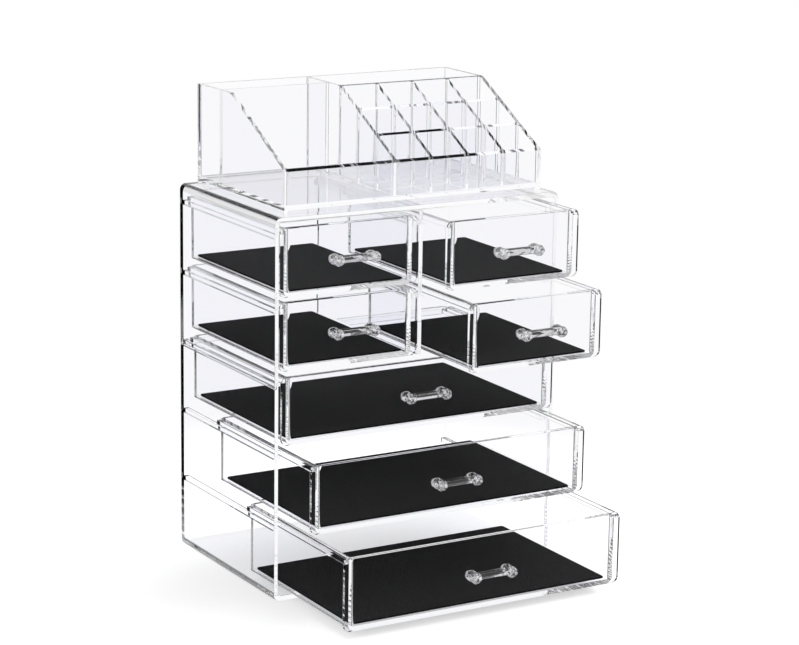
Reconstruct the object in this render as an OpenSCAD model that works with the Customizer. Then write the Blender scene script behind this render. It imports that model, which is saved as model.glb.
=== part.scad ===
// Clear drawer organizer for cosmetics: a case in two stacked halves, four small and three wide
// drawers that hang by their side flanges on rails, and a stepped tray that stands on top.
// Millimetres, +Z up. The origin is the centre of the case's underside, and the fronts face -Y.

/* [Case] */
// Overall width of the case
case_w = 240; // [210:1:300]
// Overall depth of the case
case_d = 154; // [130:1:200]
// Thickness of the side and back walls
wall_t = 3; // [2.4:0.1:4]
// Thickness of the base plate
base_t = 4; // [3:0.5:6]
// Thickness of the top plate
top_t = 4; // [3:0.5:6]
// Radius of the four long outer edges of the case
corner_r = 4.7; // [3:0.1:6]
// Radius of the four long inner edges of the case
corner_inner_r = 2.7; // [1:0.1:4]
// Thickness of the centre divider between the small drawers
divider_t = 3.5; // [2.5:0.1:5]
// Height of the lap joint between the two halves of the case
lap_h = 4.4; // [2:0.1:6]
// Gap inside the lap joint
lap_gap = 0.3; // [0.2:0.05:0.5]

/* [Drawer bays] */
// Height of a drawer front
front_h = 51; // [40:1:70]
// Gap between the fronts of one row and the next
row_gap = 3.1; // [2:0.1:6]
// Gap between the base plate and the lowest front
base_gap = 3.1; // [2:0.1:6]
// How much deeper the lowest drawer is than the others
low_extra = 3.2; // [0:0.1:6]
// Gap between the highest fronts and the top plate
top_gap = 3.2; // [2:0.1:6]
// Gap beside a drawer front, to the wall or divider
side_gap = 0.8; // [0.5:0.1:1.5]
// Width of a rail, out from its wall
rail_w = 4; // [3:0.1:6]
// Height of a rail
rail_h = 3.5; // [2.5:0.1:5]
// Drop from the top of a front to the top of the rail beside it
rail_drop = 5; // [4.5:0.1:8]
// Gap between a front's inner face and the front end of the rails
rail_setback = 0.7; // [0.4:0.1:3]
// Running gap between a flange and its rail
run_gap = 0.3; // [0.2:0.05:0.5]

/* [Drawers] */
// Thickness of a drawer front
front_t = 3; // [2.4:0.1:4]
// Thickness of a drawer's side and back walls
side_t = 3; // [2:0.1:4]
// Thickness of a drawer's floor
floor_t = 3; // [2:0.1:4]
// Thickness of the flanges that a drawer hangs by
flange_t = 3.3; // [2:0.1:4]
// Gap between a drawer's side and the edge of the rail beside it
side_clear = 0.7; // [0.4:0.1:1.5]
// Gap behind a shut drawer
back_gap = 1.5; // [0.5:0.1:4]
// Radius of a front's corners
front_r = 4.5; // [2:0.1:8]
// Radius of a drawer's lower long edges and back corners
belly_r = 4.5; // [2:0.1:6]
// Radius of the upright corners inside a drawer
inner_r = 2.2; // [1:0.1:5]
// Height of the bevel inside a front's top edge
bevel_h = 5; // [2:0.1:8]
// Depth of the bevel inside a front's top edge
bevel_t = 1.2; // [0.5:0.1:1.6]

/* [Drawer positions] */
// How far the left drawer of row 1 stands open
open_1_left = 0; // [0:0.5:120]
// How far the right drawer of row 1 stands open
open_1_right = 33; // [0:0.5:120]
// How far the left drawer of row 2 stands open
open_2_left = 0; // [0:0.5:120]
// How far the right drawer of row 2 stands open
open_2_right = 65.5; // [0:0.5:120]
// How far the drawer of row 3 stands open
open_3 = 4; // [0:0.5:120]
// How far the drawer of row 4 stands open
open_4 = 49; // [0:0.5:120]
// How far the drawer of row 5 stands open
open_5 = 98; // [0:0.5:120]

/* [Handles] */
// Distance between a handle's two knobs
knob_span = 30; // [24:1:44]
// Width of a knob across its flats
knob_w = 8; // [6:0.1:12]
// How far a handle stands out from the front
handle_reach = 15; // [13:0.5:22]
// Height of the bevel round a knob's face
knob_bevel = 1.6; // [0.6:0.1:2.5]
// Width of the bar across its flats
bar_w = 5.6; // [4:0.1:5.8]
// Gap for a fingertip between the front and the bar
finger_gap = 7; // [5:0.1:7.4]

/* [Liners] */
// Thickness of a liner
liner_t = 1.5; // [1:0.1:4]
// Gap between a liner and the drawer's walls
liner_gap = 2.5; // [1:0.1:6]
// Corner radius of a liner
liner_r = 2; // [1:0.1:6]

/* [Top tray] */
// Distance from the tray's sides to the case's sides
tray_inset_x = 11.25; // [7:0.25:20]
// Distance from the tray's front and back to the case's front and back
tray_inset_y = 7.8; // [2:0.1:12]
// Height of the tray at the back
tray_h = 76; // [60:1:100]
// Height of the tray's front wall
tray_front_h = 31; // [24:1:45]
// Thickness of the tray's outer walls
tray_wall_t = 3; // [2:0.1:4]
// Thickness of the tray's inner walls
tray_div_t = 2.5; // [1.5:0.1:3.5]
// Thickness of the tray's floor
tray_floor_t = 4; // [2:0.1:5]
// Height of the foot rim under the tray
foot_h = 2.5; // [1:0.1:4]
// Width of the foot rim under the tray
foot_w = 4; // [2:0.1:8]
// Slots in each row of the grid
slot_cols = 4; // [3:1:5]
// Rows of slots in the grid
slot_rows = 3; // [2:1:3]
// Width of a slot
slot_w = 28.4; // [20:0.1:32]
// Depth of a slot, front to back
slot_d = 25.3; // [20:0.1:27]
// Depth of the trough behind the open bin
trough_d = 31.7; // [20:0.1:45]
// Radius of the bend in the tray's side walls
bend_r = 12; // [4:0.5:20]
// Radius of the upright corners inside the tray
pocket_r = 1.5; // [0.5:0.1:3]

/* [Hidden] */

ACRYLIC = [0.86, 0.93, 0.96, 0.45];
FELT = [0.16, 0.16, 0.17];
$fn = 64;
// Sides of the knobs and the bar
FACETS = 8;
// Overshoot of a cut past the face it opens
cut = 1;

front_y = -case_d / 2;
back_y = case_d / 2;
back_in_y = back_y - wall_t;
half_w = case_w / 2;
half_in_w = half_w - wall_t;

// Rows count from the bottom: 0, 1 and 2 are wide, 3 and 4 are split.
SPLIT_ROW = 3;
TOP_ROW = 4;
pitch = front_h + row_gap;
// Z of a row's base line: its drawers start there, but the lowest drawer reaches below it
function front_z(row) = base_t + base_gap + low_extra + row * pitch;
function bottom_z(row) = front_z(row) - (row == 0 ? low_extra : 0);
function rail_top(row) = front_z(row) + front_h - rail_drop;
ceiling_z = front_z(TOP_ROW) + front_h + top_gap;
case_h = ceiling_z + top_t;
seam_z = rail_top(SPLIT_ROW - 1);

// Lap joint: the lower half's tongue inside the upper half's skirt
tongue_t = (wall_t - lap_gap) / 2;
tongue_x = half_in_w + tongue_t;
tongue_y = back_in_y + tongue_t;
skirt_x = tongue_x + lap_gap;
skirt_y = tongue_y + lap_gap;
skirt_z = seam_z - lap_h + lap_gap;

// Drawer fronts: X at the divider and at the wall
front_x_mid = divider_t / 2 + side_gap;
front_x_out = half_in_w - side_gap;
front_in_y = front_y + front_t;
rear_y = back_in_y - back_gap;
rail_y = front_in_y + rail_setback;
flange_w = rail_w + side_clear - side_gap;
wide_x = [-front_x_out, front_x_out];
left_x = [-front_x_out, -front_x_mid];
right_x = [front_x_mid, front_x_out];

// Tray
tray_half_w = half_w - tray_inset_x;
tray_y0 = front_y + tray_inset_y;
tray_y1 = back_y - tray_inset_y;
tray_top_z = case_h + tray_h;
tray_floor_z = case_h + foot_h + tray_floor_t;
slot_pitch_x = slot_w + tray_div_t;
slot_pitch_y = slot_d + tray_div_t;
tray_in_x = tray_half_w - tray_wall_t;
tray_in_y0 = tray_y0 + tray_wall_t;
tray_in_y1 = tray_y1 - tray_wall_t;
grid_x = tray_in_x - slot_cols * slot_pitch_x + tray_div_t;
grid_y = tray_in_y0 + slot_rows * slot_pitch_y - tray_div_t;
slope_deg = atan((tray_h - tray_front_h) / (grid_y - tray_y0));

// Rectangle between two opposite corners
module band(a, b) {
    translate([min(a[0], b[0]), min(a[1], b[1])])
        square([abs(b[0] - a[0]), abs(b[1] - a[1])]);
}

// Box between two opposite corners
module block(a, b) {
    translate(a)
        cube(b - a);
}

// Rectangle with four round corners
module round_band(a, b, r) {
    band([a[0] + r, a[1]], [b[0] - r, b[1]]);
    band([a[0], a[1] + r], [b[0], b[1] - r]);
    for (x = [a[0] + r, b[0] - r], y = [a[1] + r, b[1] - r])
        translate([x, y])
            circle(r);
}

// Rectangle from z_round to z_flat, with round corners at z_round only
module half_round_band(x0, x1, z_round, z_flat, r) {
    z_mid = z_round + sign(z_flat - z_round) * r;
    band([x0, z_mid], [x1, z_flat]);
    band([x0 + r, z_round], [x1 - r, z_flat]);
    for (x = [x0 + r, x1 - r])
        translate([x, z_mid])
            circle(r);
}

// Extrudes an outline drawn in X and Z along Y
module along_y(y0, y1) {
    translate([0, y1, 0])
        rotate([90, 0, 0])
            linear_extrude(y1 - y0)
                children();
}

// Extrudes an outline drawn in Y and Z along X
module along_x(x0, x1) {
    translate([x0, 0, 0])
        rotate([90, 0, 90])
            linear_extrude(x1 - x0)
                children();
}

// Extrudes an outline drawn in X and Y along Z
module along_z(z0, z1) {
    translate([0, 0, z0])
        linear_extrude(z1 - z0)
            children();
}

// Both side walls, the back wall and the closing plate at z_round, open at z_flat
module case_shell(z_round, z_flat, plate_t) {
    dir = sign(z_flat - z_round);
    along_y(front_y, back_y)
        difference() {
            half_round_band(-half_w, half_w, z_round, z_flat, corner_r);
            half_round_band(-half_in_w, half_in_w, z_round + dir * plate_t, z_flat + dir * cut, corner_inner_r);
        }
    along_y(back_in_y, back_y)
        half_round_band(-half_w, half_w, z_round, z_flat, corner_r);
}

// The pair of rails on the side walls for one row
module wall_rails(row) {
    for (side = [-1, 1])
        along_y(rail_y, back_in_y + wall_t / 2)
            band(
                [side * (half_in_w - rail_w), rail_top(row) - rail_h],
                [side * (half_in_w + wall_t / 2), rail_top(row)]
            );
}

module lower_case() {
    color(ACRYLIC)
        difference() {
            union() {
                case_shell(0, seam_z, base_t);
                for (row = [0:SPLIT_ROW - 1])
                    wall_rails(row);
            }
            // The outer half of the walls is cut away above the lap's shoulder.
            difference() {
                block([-half_w - cut, front_y - cut, seam_z - lap_h], [half_w + cut, back_y + cut, seam_z + cut]);
                block(
                    [-tongue_x, front_y - 2 * cut, seam_z - lap_h - cut],
                    [tongue_x, tongue_y, seam_z + 2 * cut]
                );
            }
        }
}

module upper_case() {
    color(ACRYLIC)
        difference() {
            union() {
                case_shell(case_h, skirt_z, top_t);
                for (row = [SPLIT_ROW:TOP_ROW])
                    wall_rails(row);
            }
            // Room for the lower half's tongue
            block([-skirt_x, front_y - cut, skirt_z - cut], [skirt_x, skirt_y, seam_z]);
        }
}

module centre_divider() {
    rail_half = divider_t / 2 + rail_w;
    color(ACRYLIC)
        union() {
            block([-divider_t / 2, front_y, front_z(SPLIT_ROW)], [divider_t / 2, back_in_y, ceiling_z]);
            for (row = [SPLIT_ROW:TOP_ROW])
                block([-rail_half, rail_y, rail_top(row) - rail_h], [rail_half, back_in_y, rail_top(row)]);
        }
}

// A drawer in its shut place: xs holds the X of both ends of its front
module drawer(xs, row) {
    z0 = bottom_z(row);
    z1 = front_z(row) + front_h;
    rim_z = rail_top(row) + run_gap + flange_t;
    x0 = xs[0] + flange_w;
    x1 = xs[1] - flange_w;
    color(ACRYLIC)
        union() {
            // Front panel, bevelled inside its top edge
            intersection() {
                along_y(front_y, front_in_y)
                    round_band([xs[0], z0], [xs[1], z1], front_r);
                along_x(xs[0], xs[1])
                    polygon([
                        [front_y, z0],
                        [front_in_y, z0],
                        [front_in_y, z1 - bevel_h],
                        [front_in_y - bevel_t, z1],
                        [front_y, z1]
                    ]);
            }
            // Box behind the panel
            difference() {
                intersection() {
                    along_y(front_in_y - front_t / 2, rear_y)
                        half_round_band(x0, x1, z0, rim_z, belly_r);
                    along_z(z0 - cut, rim_z + cut)
                        round_band([x0, front_in_y - 3 * belly_r], [x1, rear_y], belly_r);
                }
                along_z(z0 + floor_t, rim_z + cut)
                    drawer_plan(xs, side_t, inner_r);
            }
            // Flanges that hang on the rails
            for (ends = [[xs[0], x0 + side_t / 2], [x1 - side_t / 2, xs[1]]])
                block([ends[0], front_in_y - front_t / 2, rim_z - flange_t], [ends[1], rear_y - belly_r, rim_z]);
        }
}

// Plan of a drawer's inside, drawn in by inset from the outer faces of its sides and back
module drawer_plan(xs, inset, r) {
    front_inset = inset - side_t;
    round_band(
        [xs[0] + flange_w + inset, front_in_y + front_inset],
        [xs[1] - flange_w - inset, rear_y - inset],
        r
    );
}

// A liner on the floor of a shut drawer
module liner(xs, row) {
    z0 = bottom_z(row) + floor_t;
    color(FELT)
        along_z(z0, z0 + liner_t)
            drawer_plan(xs, side_t + liner_gap, liner_r);
}

// A handle on the middle of a shut drawer's front
module handle(xs, row) {
    corner_w = 1 / cos(180 / FACETS);
    bar_out = finger_gap + bar_w / 2;
    mid_z = (bottom_z(row) + front_z(row) + front_h) / 2;
    color(ACRYLIC)
        translate([(xs[0] + xs[1]) / 2, front_y, mid_z])
            union() {
                for (side = [-1, 1])
                    translate([side * knob_span / 2, 0, 0])
                        rotate([90, 180 / FACETS, 0])
                            knob(corner_w);
                translate([-knob_span / 2, -bar_out, 0])
                    rotate([0, 90, 0])
                        rotate([0, 0, 180 / FACETS])
                            cylinder(d = bar_w * corner_w, h = knob_span, $fn = FACETS);
            }
}

// A knob that stands up along +Z; corner_w is its width over corners for each unit across flats
module knob(corner_w) {
    cylinder(d = knob_w * corner_w, h = handle_reach - knob_bevel, $fn = FACETS);
    translate([0, 0, handle_reach - knob_bevel])
        cylinder(
            d1 = knob_w * corner_w,
            d2 = (knob_w - 2 * knob_bevel) * corner_w,
            h = knob_bevel,
            $fn = FACETS
        );
}

// Moves what stands shut out to where it is open
module pulled(open) {
    translate([0, -open, 0])
        children();
}

// Side view of the tray: level at the back, then sloping down to the front wall
module tray_profile() {
    bend_y = grid_y + bend_r * tan(slope_deg / 2);
    bend_z = tray_top_z - bend_r;
    polygon([
        [tray_y0, case_h],
        [tray_y1, case_h],
        [tray_y1, tray_top_z],
        [bend_y, tray_top_z],
        [bend_y - bend_r * sin(slope_deg), bend_z + bend_r * cos(slope_deg)],
        [tray_y0, case_h + tray_front_h]
    ]);
    translate([bend_y, bend_z])
        circle(bend_r);
}

// A pocket in the tray, open at the top
module pocket(x0, x1, y0, y1) {
    along_z(tray_floor_z, tray_top_z + cut)
        round_band([x0, y0], [x1, y1], pocket_r);
}

module top_tray() {
    bin_x1 = grid_x - tray_div_t;
    trough_y = tray_in_y1 - trough_d;
    color(ACRYLIC)
        difference() {
            along_x(-tray_half_w, tray_half_w)
                tray_profile();
            // Hollow inside the foot rim
            block(
                [foot_w - tray_half_w, tray_y0 + foot_w, case_h - cut],
                [tray_half_w - foot_w, tray_y1 - foot_w, case_h + foot_h]
            );
            // Open bin, the trough behind it and the trough behind the grid
            pocket(-tray_in_x, bin_x1, tray_in_y0, trough_y - tray_div_t);
            pocket(-tray_in_x, bin_x1, trough_y, tray_in_y1);
            pocket(grid_x, tray_in_x, grid_y + tray_div_t, tray_in_y1);
            for (col = [0:slot_cols - 1], row = [0:slot_rows - 1])
                pocket(
                    grid_x + col * slot_pitch_x,
                    grid_x + col * slot_pitch_x + slot_w,
                    tray_in_y0 + row * slot_pitch_y,
                    tray_in_y0 + row * slot_pitch_y + slot_d
                );
        }
}

module drawer_1_left() { pulled(open_1_left) drawer(left_x, TOP_ROW); }
module drawer_1_right() { pulled(open_1_right) drawer(right_x, TOP_ROW); }
module drawer_2_left() { pulled(open_2_left) drawer(left_x, SPLIT_ROW); }
module drawer_2_right() { pulled(open_2_right) drawer(right_x, SPLIT_ROW); }
module drawer_3() { pulled(open_3) drawer(wide_x, 2); }
module drawer_4() { pulled(open_4) drawer(wide_x, 1); }
module drawer_5() { pulled(open_5) drawer(wide_x, 0); }

module handle_1_left() { pulled(open_1_left) handle(left_x, TOP_ROW); }
module handle_1_right() { pulled(open_1_right) handle(right_x, TOP_ROW); }
module handle_2_left() { pulled(open_2_left) handle(left_x, SPLIT_ROW); }
module handle_2_right() { pulled(open_2_right) handle(right_x, SPLIT_ROW); }
module handle_3() { pulled(open_3) handle(wide_x, 2); }
module handle_4() { pulled(open_4) handle(wide_x, 1); }
module handle_5() { pulled(open_5) handle(wide_x, 0); }

module liner_1_left() { pulled(open_1_left) liner(left_x, TOP_ROW); }
module liner_1_right() { pulled(open_1_right) liner(right_x, TOP_ROW); }
module liner_2_left() { pulled(open_2_left) liner(left_x, SPLIT_ROW); }
module liner_2_right() { pulled(open_2_right) liner(right_x, SPLIT_ROW); }
module liner_3() { pulled(open_3) liner(wide_x, 2); }
module liner_4() { pulled(open_4) liner(wide_x, 1); }
module liner_5() { pulled(open_5) liner(wide_x, 0); }

lower_case();
upper_case();
centre_divider();
top_tray();
drawer_1_left();
drawer_1_right();
drawer_2_left();
drawer_2_right();
drawer_3();
drawer_4();
drawer_5();
handle_1_left();
handle_1_right();
handle_2_left();
handle_2_right();
handle_3();
handle_4();
handle_5();
liner_1_left();
liner_1_right();
liner_2_left();
liner_2_right();
liner_3();
liner_4();
liner_5();
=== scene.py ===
"""Looks of the clear drawer organizer: acrylic, felt liners, faceted pulls, studio and camera. Metres."""
import math

import bmesh
import bpy
from mathutils import Matrix, Vector


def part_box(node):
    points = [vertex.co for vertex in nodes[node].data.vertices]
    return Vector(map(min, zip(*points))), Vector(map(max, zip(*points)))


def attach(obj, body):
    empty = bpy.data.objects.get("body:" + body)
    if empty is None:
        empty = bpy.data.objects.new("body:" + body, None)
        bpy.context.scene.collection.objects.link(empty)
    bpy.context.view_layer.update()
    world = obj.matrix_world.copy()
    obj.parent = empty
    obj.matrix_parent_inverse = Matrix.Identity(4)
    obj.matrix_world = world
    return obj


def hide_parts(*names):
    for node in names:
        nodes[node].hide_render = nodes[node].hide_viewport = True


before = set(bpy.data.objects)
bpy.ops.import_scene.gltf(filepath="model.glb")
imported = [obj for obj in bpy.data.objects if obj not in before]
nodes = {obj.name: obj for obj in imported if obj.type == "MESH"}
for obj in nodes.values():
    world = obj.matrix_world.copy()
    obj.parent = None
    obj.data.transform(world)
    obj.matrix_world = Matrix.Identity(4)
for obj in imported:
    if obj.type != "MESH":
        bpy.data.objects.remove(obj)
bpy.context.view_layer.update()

DRAWERS = ("1_left", "1_right", "2_left", "2_right", "3", "4", "5")
MM = 0.001


# ---------- small helpers ----------

def set_up_nodes(owner):
    """Empties the node tree of a material or world and returns it."""
    owner.use_nodes = True
    owner.node_tree.nodes.clear()
    return owner.node_tree


def add(tree, kind, **inputs):
    """Adds a shader node; inputs holds its sockets' values, with _ for a space."""
    node = tree.nodes.new(kind)
    for key, value in inputs.items():
        node.inputs[key.replace("_", " ")].default_value = value
    return node


def math_node(tree, operation, a, b=None):
    """A Math node whose two inputs are numbers or sockets."""
    node = tree.nodes.new("ShaderNodeMath")
    node.operation = operation
    for socket, value in zip(node.inputs, (a, b)):
        if value is None:
            continue
        if isinstance(value, (int, float)):
            socket.default_value = value
        else:
            tree.links.new(value, socket)
    return node.outputs[0]


def wear(obj, material):
    """Gives an object one material."""
    obj.data.materials.clear()
    obj.data.materials.append(material)


def new_object(name, mesh):
    """Links a new object for a mesh."""
    obj = bpy.data.objects.new(name, mesh)
    bpy.context.scene.collection.objects.link(obj)
    return obj


# ---------- materials ----------

ACRYLIC_IOR = 1.49
# Fresnel's share at which a clear piece starts to mirror
PANEL_MIRROR_FROM = 0.12
PULL_MIRROR_FROM = -0.2
CLEAR_TINT = (0.986, 0.986, 0.992, 1)
SHADOW_TINT = (0.945, 0.948, 0.952, 1)


def acrylic(name, roughness, ripple, mirror_from):
    """Clear moulded plastic: a faint moulding ripple, and polish that varies a little.

    It mirrors where Fresnel's share is above mirror_from, which leaves flat panels clear.
    """
    material = bpy.data.materials.new(name)
    tree = set_up_nodes(material)
    link = tree.links.new
    place = add(tree, "ShaderNodeTexCoord")
    swirl = add(tree, "ShaderNodeTexNoise", Scale=38.0, Detail=2.0)
    haze = add(tree, "ShaderNodeTexNoise", Scale=310.0, Detail=3.0)
    link(place.outputs["Object"], swirl.inputs["Vector"])
    link(place.outputs["Object"], haze.inputs["Vector"])
    bump = add(tree, "ShaderNodeBump", Strength=ripple, Distance=0.0002)
    link(swirl.outputs["Fac"], bump.inputs["Height"])
    polish = add(tree, "ShaderNodeMapRange", To_Min=roughness * 0.4, To_Max=roughness * 1.6)
    link(haze.outputs["Fac"], polish.inputs["Value"])
    through = add(tree, "ShaderNodeBsdfRefraction", Color=CLEAR_TINT, IOR=ACRYLIC_IOR)
    gloss = add(tree, "ShaderNodeBsdfAnisotropic", Color=(1, 1, 1, 1))
    for lobe in (through, gloss):
        link(polish.outputs["Result"], lobe.inputs["Roughness"])
        link(bump.outputs["Normal"], lobe.inputs["Normal"])
    fresnel = add(tree, "ShaderNodeFresnel", IOR=ACRYLIC_IOR)
    link(bump.outputs["Normal"], fresnel.inputs["Normal"])
    mirror = add(tree, "ShaderNodeMapRange", From_Min=mirror_from)
    link(fresnel.outputs["Fac"], mirror.inputs["Value"])
    plastic = add(tree, "ShaderNodeMixShader")
    link(mirror.outputs["Result"], plastic.inputs["Fac"])
    link(through.outputs["BSDF"], plastic.inputs[1])
    link(gloss.outputs["BSDF"], plastic.inputs[2])
    # Lamps and bounced light pass straight through, so that the thin walls cast a pale shadow.
    path = add(tree, "ShaderNodeLightPath")
    passing = math_node(tree, "MAXIMUM", path.outputs["Is Shadow Ray"], path.outputs["Is Diffuse Ray"])
    clear = add(tree, "ShaderNodeBsdfTransparent", Color=SHADOW_TINT)
    mix = add(tree, "ShaderNodeMixShader")
    link(passing, mix.inputs["Fac"])
    link(plastic.outputs["Shader"], mix.inputs[1])
    link(clear.outputs["BSDF"], mix.inputs[2])
    out = add(tree, "ShaderNodeOutputMaterial")
    link(mix.outputs["Shader"], out.inputs["Surface"])
    return material


def felt():
    """Charcoal felt: matted fibres, a soft nap and a little sheen."""
    material = bpy.data.materials.new("charcoal_felt")
    tree = set_up_nodes(material)
    link = tree.links.new
    place = add(tree, "ShaderNodeTexCoord")
    fibres = add(tree, "ShaderNodeTexNoise", Scale=1400.0, Detail=6.0, Roughness=0.7)
    tufts = add(tree, "ShaderNodeTexVoronoi", Scale=900.0)
    cloud = add(tree, "ShaderNodeTexNoise", Scale=26.0, Detail=3.0)
    for texture in (fibres, tufts, cloud):
        link(place.outputs["Object"], texture.inputs["Vector"])
    shade = add(tree, "ShaderNodeValToRGB")
    shade.color_ramp.elements[0].position = 0.25
    shade.color_ramp.elements[0].color = (0.0045, 0.0045, 0.005, 1)
    shade.color_ramp.elements[1].position = 0.8
    shade.color_ramp.elements[1].color = (0.014, 0.014, 0.014, 1)
    blend = math_node(tree, "MULTIPLY", fibres.outputs["Fac"], 0.7)
    blend = math_node(tree, "ADD", blend, math_node(tree, "MULTIPLY", cloud.outputs["Fac"], 0.3))
    link(blend, shade.inputs["Fac"])
    height = math_node(tree, "SUBTRACT", fibres.outputs["Fac"], tufts.outputs["Distance"])
    bump = add(tree, "ShaderNodeBump", Strength=0.5, Distance=0.0003)
    link(height, bump.inputs["Height"])
    cloth = add(
        tree, "ShaderNodeBsdfPrincipled",
        Roughness=0.95, Sheen_Weight=0.08, Sheen_Roughness=0.5, Specular_IOR_Level=0.15,
    )
    link(shade.outputs["Color"], cloth.inputs["Base Color"])
    link(bump.outputs["Normal"], cloth.inputs["Normal"])
    out = add(tree, "ShaderNodeOutputMaterial")
    link(cloth.outputs["BSDF"], out.inputs["Surface"])
    return material


# ---------- the clear pieces ----------

BEVEL_W = 0.32 * MM
SHARP_DEG = 10
# Touching pieces keep this hairline gap, because light gets caught between faces that coincide.
HAIRLINE = 0.02 * MM


def soften_edges(obj, width):
    """Rounds a clear piece's sharp edges a little, as polished plastic has them."""
    weld = obj.modifiers.new("join_corners", "WELD")
    weld.merge_threshold = 0.002 * MM
    merge = obj.modifiers.new("merge_flats", "DECIMATE")
    merge.decimate_type = "DISSOLVE"
    merge.angle_limit = math.radians(0.4)
    bevel = obj.modifiers.new("soft_edges", "BEVEL")
    bevel.width = width
    bevel.segments = 2
    bevel.limit_method = "ANGLE"
    bevel.angle_limit = math.radians(SHARP_DEG)
    bevel.use_clamp_overlap = True
    gap = obj.modifiers.new("hairline_gap", "DISPLACE")
    gap.mid_level = 0
    gap.strength = -HAIRLINE
    even = obj.modifiers.new("even_normals", "WEIGHTED_NORMAL")
    even.weight = 90
    for face in obj.data.polygons:
        face.use_smooth = True


clear_plastic = acrylic("clear_acrylic", 0.012, 0.03, PANEL_MIRROR_FROM)
for name, obj in nodes.items():
    if not name.startswith(("liner_", "handle_")):
        wear(obj, clear_plastic)
        soften_edges(obj, BEVEL_W)


# ---------- felt liners ----------

LINER_EDGE = 0.35 * MM
# Between a mat and its drawer's floor, for the same reason as HAIRLINE
LINER_LIFT = 0.15 * MM
LINER_CORNER = 2 * MM
CORNER_STEPS = 6
charcoal = felt()


def liner(name):
    """A loose felt mat: a slab with round corners and a soft rim."""
    low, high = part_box("liner_" + name)
    low.z += LINER_LIFT
    mesh = bpy.data.meshes.new("felt_liner_" + name)
    shape = bmesh.new()
    corner = LINER_CORNER
    ring = []
    for cx, cy, start in (
        (high.x - corner, high.y - corner, 0),
        (low.x + corner, high.y - corner, 90),
        (low.x + corner, low.y + corner, 180),
        (high.x - corner, low.y + corner, 270),
    ):
        for step in range(CORNER_STEPS + 1):
            turn = math.radians(start + step * 90 / CORNER_STEPS)
            place = (cx + corner * math.cos(turn), cy + corner * math.sin(turn), low.z)
            ring.append(shape.verts.new(place))
    base = shape.faces.new(ring)
    lifted = bmesh.ops.extrude_face_region(shape, geom=[base])["geom"]
    for v in lifted:
        if isinstance(v, bmesh.types.BMVert):
            v.co.z = high.z
    bmesh.ops.recalc_face_normals(shape, faces=shape.faces[:])
    shape.to_mesh(mesh)
    shape.free()
    obj = new_object("felt_liner_" + name, mesh)
    bevel = obj.modifiers.new("soft_rim", "BEVEL")
    bevel.width = LINER_EDGE
    bevel.segments = 3
    bevel.limit_method = "ANGLE"
    bevel.angle_limit = math.radians(50)
    wear(obj, charcoal)
    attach(obj, "drawer_" + name)
    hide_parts("liner_" + name)
    return obj


for name in DRAWERS:
    liner(name)


# ---------- pulls ----------

SIDES = 8
FACET_EDGE = 0.25 * MM
KNOB_R = 4.0 * MM
BAR_R = 2.8 * MM
# Rings of a knob: share of the reach, share of the knob's width, and turn in half facets
KNOB_RINGS = (
    (0.0, 0.72, 0),
    (0.22, 1.06, 1),
    (0.5, 1.0, 0),
    (0.8, 1.06, 1),
    (1.0, 0.6, 0),
)
# Share of the reach at which the bar sits
BAR_REACH = 0.5


def ringed_solid(shape, rings):
    """A closed faceted solid through rings of SIDES points, joined by triangles."""
    turned = []
    for centre, along, radius, turn in rings:
        side = along.orthogonal().normalized()
        up = along.cross(side)
        ring = []
        for i in range(SIDES):
            angle = math.tau * (i + turn / 2) / SIDES
            offset = side * math.cos(angle) + up * math.sin(angle)
            ring.append(shape.verts.new(centre + offset * radius))
        turned.append((ring, turn))
    for (low, low_turn), (high, high_turn) in zip(turned, turned[1:]):
        for i in range(SIDES):
            j = (i + 1) % SIDES
            if high_turn > low_turn:
                shape.faces.new((low[i], low[j], high[i]))
                shape.faces.new((low[j], high[j], high[i]))
            elif high_turn < low_turn:
                shape.faces.new((low[i], high[j], high[i]))
                shape.faces.new((low[i], low[j], high[j]))
            else:
                shape.faces.new((low[i], low[j], high[j], high[i]))
    shape.faces.new(turned[0][0])
    shape.faces.new(turned[-1][0])
    bmesh.ops.recalc_face_normals(shape, faces=shape.faces[:])


def solid_mesh(name, rings):
    """A mesh of one ringed solid."""
    shape = bmesh.new()
    ringed_solid(shape, rings)
    mesh = bpy.data.meshes.new(name)
    shape.to_mesh(mesh)
    shape.free()
    return mesh


def pull_mesh(span, reach):
    """Two cut knobs joined by a bar, as one solid; its origin is midway on the drawer's front."""
    out = Vector((0, -1, 0))
    corner = 1 / math.cos(math.pi / SIDES)
    parts = []
    for side in (-1, 1):
        foot = Vector((side * span / 2, -HAIRLINE, 0))
        rings = [
            (foot + out * (reach - HAIRLINE) * share, out, KNOB_R * wide, turn)
            for share, wide, turn in KNOB_RINGS
        ]
        parts.append(new_object("knob_part", solid_mesh("knob_part", rings)))
    across = Vector((1, 0, 0))
    middle = out * reach * BAR_REACH
    rings = [(middle + across * side * span / 2, across, BAR_R * corner, 0) for side in (-1, 1)]
    bar = new_object("bar_part", solid_mesh("bar_part", rings))
    for part in parts:
        join = bar.modifiers.new("join", "BOOLEAN")
        join.operation = "UNION"
        join.solver = "EXACT"
        join.object = part
    bpy.context.view_layer.update()
    depsgraph = bpy.context.evaluated_depsgraph_get()
    mesh = bpy.data.meshes.new_from_object(bar.evaluated_get(depsgraph))
    for part in parts + [bar]:
        bpy.data.objects.remove(part)
    return mesh


pull_plastic = acrylic("pull_acrylic", 0.03, 0.02, PULL_MIRROR_FROM)


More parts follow.
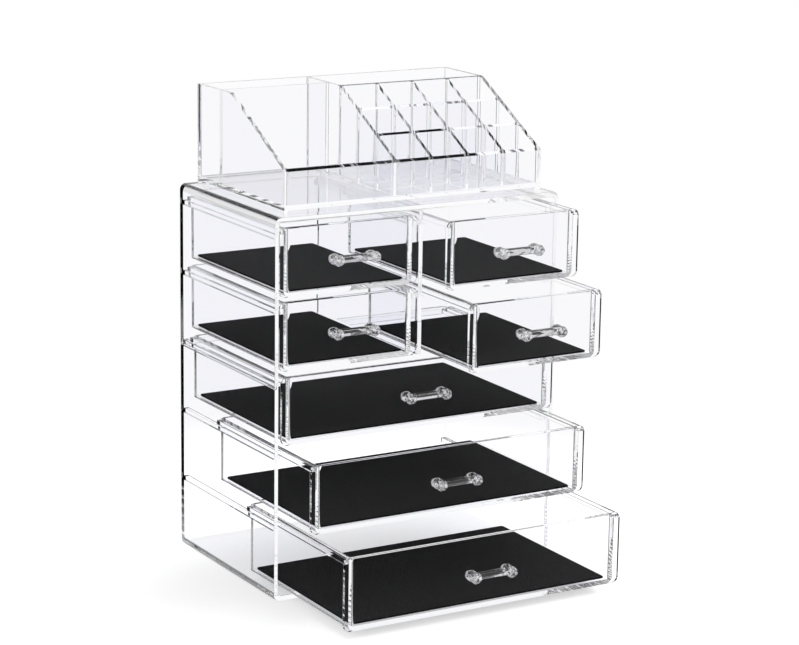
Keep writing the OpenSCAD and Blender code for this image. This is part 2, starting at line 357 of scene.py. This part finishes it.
def pull(name):
    """A drawer's pull, in the place of its plain one."""
    low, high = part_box("handle_" + name)
    span = high.x - low.x - 2 * KNOB_R
    obj = new_object("cut_pull_" + name, pull_mesh(span, high.y - low.y))
    obj.location = ((low.x + high.x) / 2, high.y, (low.z + high.z) / 2)
    bevel = obj.modifiers.new("soft_facets", "BEVEL")
    bevel.width = FACET_EDGE
    bevel.segments = 1
    bevel.limit_method = "ANGLE"
    bevel.angle_limit = math.radians(SHARP_DEG)
    wear(obj, pull_plastic)
    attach(obj, "drawer_" + name)
    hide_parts("handle_" + name)
    return obj


for name in DRAWERS:
    pull(name)


# ---------- studio ----------

# Brightness of the studio as the clear pieces mirror it: the side of the fronts is the dim one
BACK_LIGHT = 1.0
DIM_SIDE = 0.15
PATCH_LIGHT = 0.95
CEILING = 0.35
# Share of that after only one bounce, where it looks down and where it looks up
FIRST_DOWN = 0.3
FIRST_UP = 0.85
# Strength of the world as it lights the object
FILL = 0.5


def smooth(tree, value, low, high, out_low, out_high):
    """Maps value smoothly from low..high to out_low..out_high."""
    node = add(tree, "ShaderNodeMapRange", From_Min=low, From_Max=high, To_Min=out_low, To_Max=out_high)
    node.interpolation_type = "SMOOTHSTEP"
    tree.links.new(value, node.inputs["Value"])
    return node.outputs["Result"]


def seen_by_eye(tree, path):
    """1 for camera, mirror and see-through rays, and 0 for the rays that light the object."""
    seen = math_node(tree, "MAXIMUM", path.outputs["Is Camera Ray"], path.outputs["Is Glossy Ray"])
    return math_node(tree, "MAXIMUM", seen, path.outputs["Is Transmission Ray"])


def make_world():
    """White behind everything; mirror bounces inside the plastic see a room with a dim side."""
    world = bpy.data.worlds.new("studio_world")
    bpy.context.scene.world = world
    tree = set_up_nodes(world)
    path = add(tree, "ShaderNodeLightPath")
    place = add(tree, "ShaderNodeTexCoord")
    split = add(tree, "ShaderNodeSeparateXYZ")
    tree.links.new(place.outputs["Generated"], split.inputs["Vector"])
    behind = smooth(tree, split.outputs["Y"], -0.3, 0.4, DIM_SIDE, BACK_LIGHT)
    steep = math_node(tree, "ABSOLUTE", split.outputs["Z"])
    level = smooth(tree, steep, 0.3, 0.65, 1.0, CEILING)
    patches = add(tree, "ShaderNodeTexNoise", Scale=3.2, Detail=1.0)
    tree.links.new(place.outputs["Generated"], patches.inputs["Vector"])
    patch = smooth(tree, patches.outputs["Fac"], 0.47, 0.53, DIM_SIDE, PATCH_LIGHT)
    room = math_node(tree, "MAXIMUM", math_node(tree, "MULTIPLY", behind, level), patch)
    bounces = path.outputs["Glossy Depth"]
    once = math_node(tree, "COMPARE", bounces, 1.0)
    once.node.inputs[2].default_value = 0.5
    first = smooth(tree, split.outputs["Z"], -0.08, 0.08, FIRST_DOWN, FIRST_UP)
    less = math_node(tree, "MULTIPLY", once, math_node(tree, "SUBTRACT", 1.0, first))
    dimmed = math_node(tree, "SUBTRACT", 1.0, less)
    mirrored = math_node(tree, "GREATER_THAN", bounces, 0.5)
    straight = math_node(tree, "SUBTRACT", 1.0, mirrored)
    shown = math_node(tree, "ADD", straight,
                      math_node(tree, "MULTIPLY", mirrored, math_node(tree, "MULTIPLY", room, dimmed)))
    seen = seen_by_eye(tree, path)
    strength = math_node(tree, "ADD", math_node(tree, "MULTIPLY", seen, shown),
                         math_node(tree, "MULTIPLY", math_node(tree, "SUBTRACT", 1.0, seen), FILL))
    white = add(tree, "ShaderNodeBackground", Color=(1, 1, 1, 1))
    tree.links.new(strength, white.inputs["Strength"])
    out = add(tree, "ShaderNodeOutputWorld")
    tree.links.new(white.outputs["Background"], out.inputs["Surface"])


FLOOR_HALF = 4.0
FLOOR_TONE = (0.8, 0.8, 0.8, 1)
NEAR_GLOW = 0.55
# Distances from the middle between which the floor turns white
NEAR_EDGE = 0.24
FAR_EDGE = 0.42
FLOOR_DROP = 0.2 * MM


def make_floor():
    """A pale floor that keeps the shadow near the object and turns white further out."""
    mesh = bpy.data.meshes.new("studio_floor")
    shape = bmesh.new()
    bmesh.ops.create_grid(shape, x_segments=1, y_segments=1, size=FLOOR_HALF)
    shape.to_mesh(mesh)
    shape.free()
    floor = new_object("studio_floor", mesh)
    floor.location.z = -FLOOR_DROP
    material = bpy.data.materials.new("studio_floor")
    tree = set_up_nodes(material)
    link = tree.links.new
    path = add(tree, "ShaderNodeLightPath")
    place = add(tree, "ShaderNodeTexCoord")
    far = tree.nodes.new("ShaderNodeVectorMath")
    far.operation = "LENGTH"
    link(place.outputs["Object"], far.inputs[0])
    paint = add(tree, "ShaderNodeBsdfDiffuse", Color=FLOOR_TONE)
    seen = seen_by_eye(tree, path)
    glow = add(tree, "ShaderNodeEmission", Color=(1, 1, 1, 1))
    link(math_node(tree, "MULTIPLY", seen, NEAR_GLOW), glow.inputs["Strength"])
    near = add(tree, "ShaderNodeAddShader")
    link(paint.outputs["BSDF"], near.inputs[0])
    link(glow.outputs["Emission"], near.inputs[1])
    white = add(tree, "ShaderNodeEmission", Color=(1, 1, 1, 1))
    link(seen, white.inputs["Strength"])
    lit = add(tree, "ShaderNodeMixShader")
    link(smooth(tree, far.outputs["Value"], NEAR_EDGE, FAR_EDGE, 0.0, 1.0), lit.inputs["Fac"])
    link(near.outputs["Shader"], lit.inputs[1])
    link(white.outputs["Emission"], lit.inputs[2])
    # Mirror bounces inside the plastic look past the floor at the room.
    gone = add(tree, "ShaderNodeBsdfTransparent")
    mix = add(tree, "ShaderNodeMixShader")
    link(math_node(tree, "GREATER_THAN", path.outputs["Glossy Depth"], 0.5), mix.inputs["Fac"])
    link(lit.outputs["Shader"], mix.inputs[1])
    link(gone.outputs["BSDF"], mix.inputs[2])
    out = add(tree, "ShaderNodeOutputMaterial")
    link(mix.outputs["Shader"], out.inputs["Surface"])
    wear(floor, material)


def lamp(name, place, aim, width, height, watts):
    """A soft rectangular lamp that points at aim."""
    data = bpy.data.lights.new(name, "AREA")
    data.shape = "RECTANGLE"
    data.size = width
    data.size_y = height
    data.energy = watts
    obj = bpy.data.objects.new(name, data)
    bpy.context.scene.collection.objects.link(obj)
    obj.location = place
    obj.rotation_euler = (Vector(aim) - Vector(place)).to_track_quat("-Z", "Y").to_euler()
    obj.visible_camera = False
    obj.visible_glossy = False
    obj.visible_transmission = False
    return obj


make_world()
make_floor()
MIDDLE = (0, -0.05, 0.15)
lamp("key_softbox", (0.75, 0.25, 1.5), MIDDLE, 1.2, 1.2, 15.0)
lamp("left_softbox", (-1.5, -0.9, 1.0), MIDDLE, 1.0, 1.2, 5.0)

scene = bpy.context.scene
scene.view_settings.view_transform = "Standard"
# Total reflection in the walls takes long chains of bounces.
BOUNCES = 48
scene.cycles.max_bounces = BOUNCES
scene.cycles.transmission_bounces = BOUNCES
scene.cycles.glossy_bounces = BOUNCES
scene.cycles.transparent_max_bounces = 40

# ---------- camera ----------

CAMERA_PLACE = (-0.97679, -1.69270, 0.64453)
CAMERA_YAW_DEG = 30.71
CAMERA_PITCH_DEG = 13.35
CAMERA_ROLL_DEG = 0.85
LENS_MM = 118.96
SENSOR_MM = 36.0

camera_data = bpy.data.cameras.new("photo_camera")
camera_data.lens = LENS_MM
camera_data.sensor_width = SENSOR_MM
camera_data.clip_end = 20
camera = bpy.data.objects.new("photo_camera", camera_data)
scene.collection.objects.link(camera)
camera.matrix_world = (
    Matrix.Translation(CAMERA_PLACE)
    @ Matrix.Rotation(math.radians(-CAMERA_YAW_DEG), 4, "Z")
    @ Matrix.Rotation(math.radians(90 - CAMERA_PITCH_DEG), 4, "X")
    @ Matrix.Rotation(math.radians(CAMERA_ROLL_DEG), 4, "Z")
)
scene.camera = camera

bpy.context.view_layer.update()
